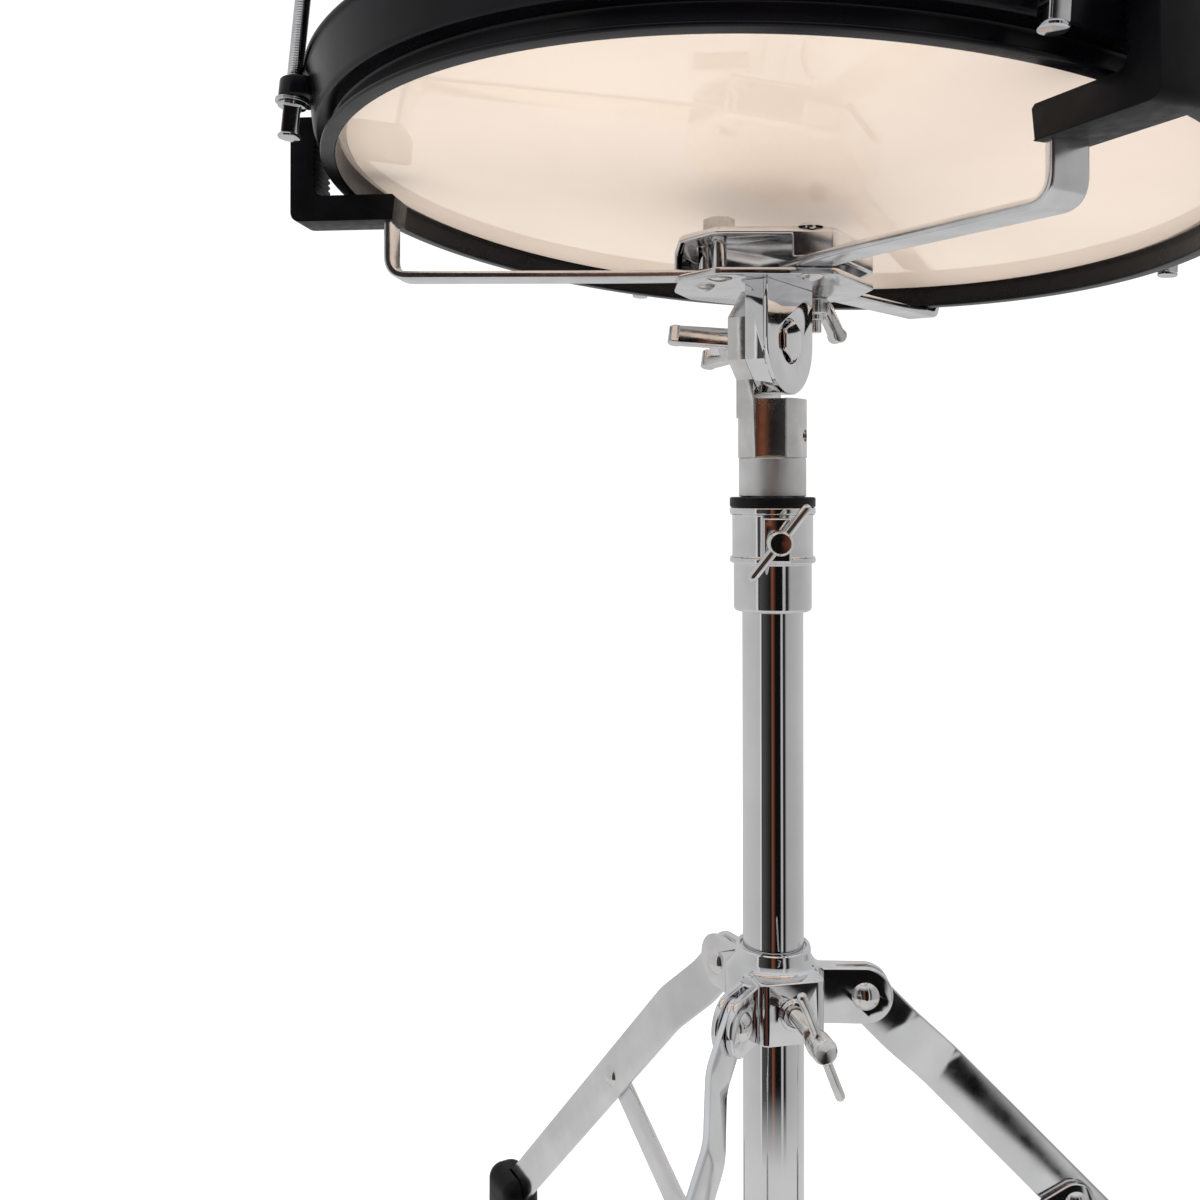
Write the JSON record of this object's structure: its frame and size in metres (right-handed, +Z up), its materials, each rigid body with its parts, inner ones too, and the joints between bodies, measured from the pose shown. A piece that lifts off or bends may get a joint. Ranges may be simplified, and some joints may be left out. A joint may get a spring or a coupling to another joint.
{
  "type": "snare drum",
  "caption": "Shallow drum with black hoops seated in the rubber-tipped basket of a folding tripod stand with tilter and height slide",
  "frame": {"origin": "on the floor under the middle of the stand's tube", "axes": "+Z up along the tube; +X towards the side that the right leg points to; +Y towards the back leg's side"},
  "size_m": [0.4741, 0.4688, 0.7269],
  "materials": {
    "tube_chrome": "polished chrome plate",
    "collar_chrome": "polished chrome on cast steel",
    "cast_metal": "bright plated casting",
    "satin_steel": "satin chrome on steel strip",
    "leg_strip": "chrome on steel strip",
    "fasteners": "bright plated",
    "sleeve": "smooth satin",
    "nylon": "moulded nylon",
    "rubber": "matt moulded rubber",
    "shell_wrap": "gloss black covering on a wooden shell",
    "hoop_paint": "gloss black",
    "rod_chrome": "chrome",
    "flesh_ring": "mill finish",
    "clear_film": "thin glossy hazy film",
    "coated_film": "rough white coating"
  },
  "bodies": {
    "main_tube": {"lower_tube": "tube_chrome", "tube_end_plug": "nylon", "lower_collar": "collar_chrome", "lower_collar_rivets": "fasteners", "height_collar": "collar_chrome", "height_bushing": "nylon", "collar_ring": "nylon"},
    "boss": {"leg_boss": "collar_chrome", "leg_pivot_rivets": "fasteners"},
    "height_bolt": {"height_t_bolt": "fasteners"},
    "boss_bolt": {"boss_t_bolt": "fasteners"},
    "mast": {"upper_tube": "tube_chrome", "stop_sleeve": "sleeve", "tilter_block": "cast_metal", "tilter_bolt": "collar_chrome", "block_set_screw": "fasteners"},
    "wing_nut": {"tilter_wing_nut": "cast_metal"},
    "basket": {"tilter_tongue": "collar_chrome", "hub_lower_plate": "satin_steel", "hub_upper_plate": "satin_steel", "hub_rivets": "fasteners", "hub_bolt": "fasteners", "hub_nut": "fasteners", "arm_clamp_bolt": "fasteners", "arm_left": "satin_steel", "arm_front": "satin_steel", "grip_left": "rubber", "grip_front": "rubber"},
    "arm_nut": {"arm_wing_nut": "cast_metal"},
    "sliding_arm": {"arm_back": "satin_steel", "grip_back": "rubber"},
    "drum": {"shell": "shell_wrap", "air_vent": "hoop_paint", "batter_head": "coated_film", "resonant_head": "clear_film", "batter_flesh_hoop": "flesh_ring", "resonant_flesh_hoop": "flesh_ring", "batter_hoop": "hoop_paint", "resonant_hoop": "hoop_paint", "lugs": "hoop_paint", "lug_screws": "fasteners", "batter_rods": "rod_chrome", "resonant_rods": "rod_chrome", "batter_washers": "rod_chrome", "resonant_washers": "rod_chrome"},
    "leg_right": {"leg_right": "leg_strip", "foot_right": "rubber", "leg_rivet_right": "fasteners"},
    "brace_right": {"brace_right": "leg_strip", "brace_rivet_right": "fasteners"},
    "leg_back": {"leg_back": "leg_strip", "foot_back": "rubber", "leg_rivet_back": "fasteners"},
    "brace_back": {"brace_back": "leg_strip", "brace_rivet_back": "fasteners"},
    "leg_front": {"leg_front": "leg_strip", "foot_front": "rubber", "leg_rivet_front": "fasteners"},
    "brace_front": {"brace_front": "leg_strip", "brace_rivet_front": "fasteners"}
  },
  "joints": [
    {"name": "boss_slide", "type": "slide", "parent": "main_tube", "child": "boss", "axis": [0, 0, 1], "range_m": [0, 0.09266]},
    {"name": "height_slide", "type": "slide", "parent": "main_tube", "child": "mast", "axis": [0, 0, 1], "range_m": [0, 0.12]},
    {"name": "tilt", "type": "hinge", "parent": "mast", "child": "basket", "pos_m": [0, 0, 0.498], "axis": [0.8339, -0.5519, 0], "range_deg": [-20, 20]},
    {"name": "arm_slide", "type": "slide", "parent": "basket", "child": "sliding_arm", "axis": [0.5534, 0.8329, 0], "range_m": [0, 0.012]},
    {"name": "drum_lift", "type": "slide", "parent": "basket", "child": "drum", "axis": [0, 0, 1], "range_m": [0, 0.08]},
    {"name": "height_bolt_turn", "type": "hinge", "parent": "main_tube", "child": "height_bolt", "pos_m": [-0.00105, -0.01997, 0.4153], "axis": [-0.0523, -0.9986, 0], "continuous": true},
    {"name": "boss_bolt_turn", "type": "hinge", "parent": "boss", "child": "boss_bolt", "pos_m": [0.00416, -0.01956, 0.227], "axis": [0.2079, -0.9781, 0], "continuous": true},
    {"name": "wing_nut_turn", "type": "hinge", "parent": "mast", "child": "wing_nut", "pos_m": [0, 0, 0.498], "axis": [0.8339, -0.5519, 0], "continuous": true},
    {"name": "arm_nut_turn", "type": "hinge", "parent": "basket", "child": "arm_nut", "pos_m": [0.02435, 0.03665, 0.515], "axis": [0, 0, 1], "continuous": true},
    {"name": "leg_right_fold", "type": "hinge", "parent": "boss", "child": "leg_right", "pos_m": [0.03748, -0.00131, 0.2268], "axis": [0.0349, 0.9994, 0], "range_deg": [0, 43.02]},
    {"name": "brace_right_fold", "type": "hinge", "parent": "main_tube", "child": "brace_right", "pos_m": [0.02398, -0.00084, 0.076], "axis": [-0.0349, -0.9994, 0], "range_deg": [0, 49.67]},
    {"name": "leg_back_fold", "type": "hinge", "parent": "boss", "child": "leg_back", "pos_m": [-0.0176, 0.03311, 0.2268], "axis": [-0.8829, -0.4695, 0], "range_deg": [0, 43.02]},
    {"name": "brace_back_fold", "type": "hinge", "parent": "main_tube", "child": "brace_back", "pos_m": [-0.01127, 0.02119, 0.076], "axis": [0.8829, 0.4695, 0], "range_deg": [0, 49.67]},
    {"name": "leg_front_fold", "type": "hinge", "parent": "boss", "child": "leg_front", "pos_m": [-0.01987, -0.0318, 0.2268], "axis": [0.848, -0.5299, 0], "range_deg": [0, 43.02]},
    {"name": "brace_front_fold", "type": "hinge", "parent": "main_tube", "child": "brace_front", "pos_m": [-0.01272, -0.02035, 0.076], "axis": [-0.848, 0.5299, 0], "range_deg": [0, 49.67]}
  ],
  "couplings": [
    {"joint": "leg_right_fold", "follows": "boss_slide", "rad_per_m": 8.0994},
    {"joint": "brace_right_fold", "follows": "boss_slide", "rad_per_m": 9.3521},
    {"joint": "leg_back_fold", "follows": "boss_slide", "rad_per_m": 8.0994},
    {"joint": "brace_back_fold", "follows": "boss_slide", "rad_per_m": 9.3521},
    {"joint": "leg_front_fold", "follows": "boss_slide", "rad_per_m": 8.0994},
    {"joint": "brace_front_fold", "follows": "boss_slide", "rad_per_m": 9.3521}
  ]
}
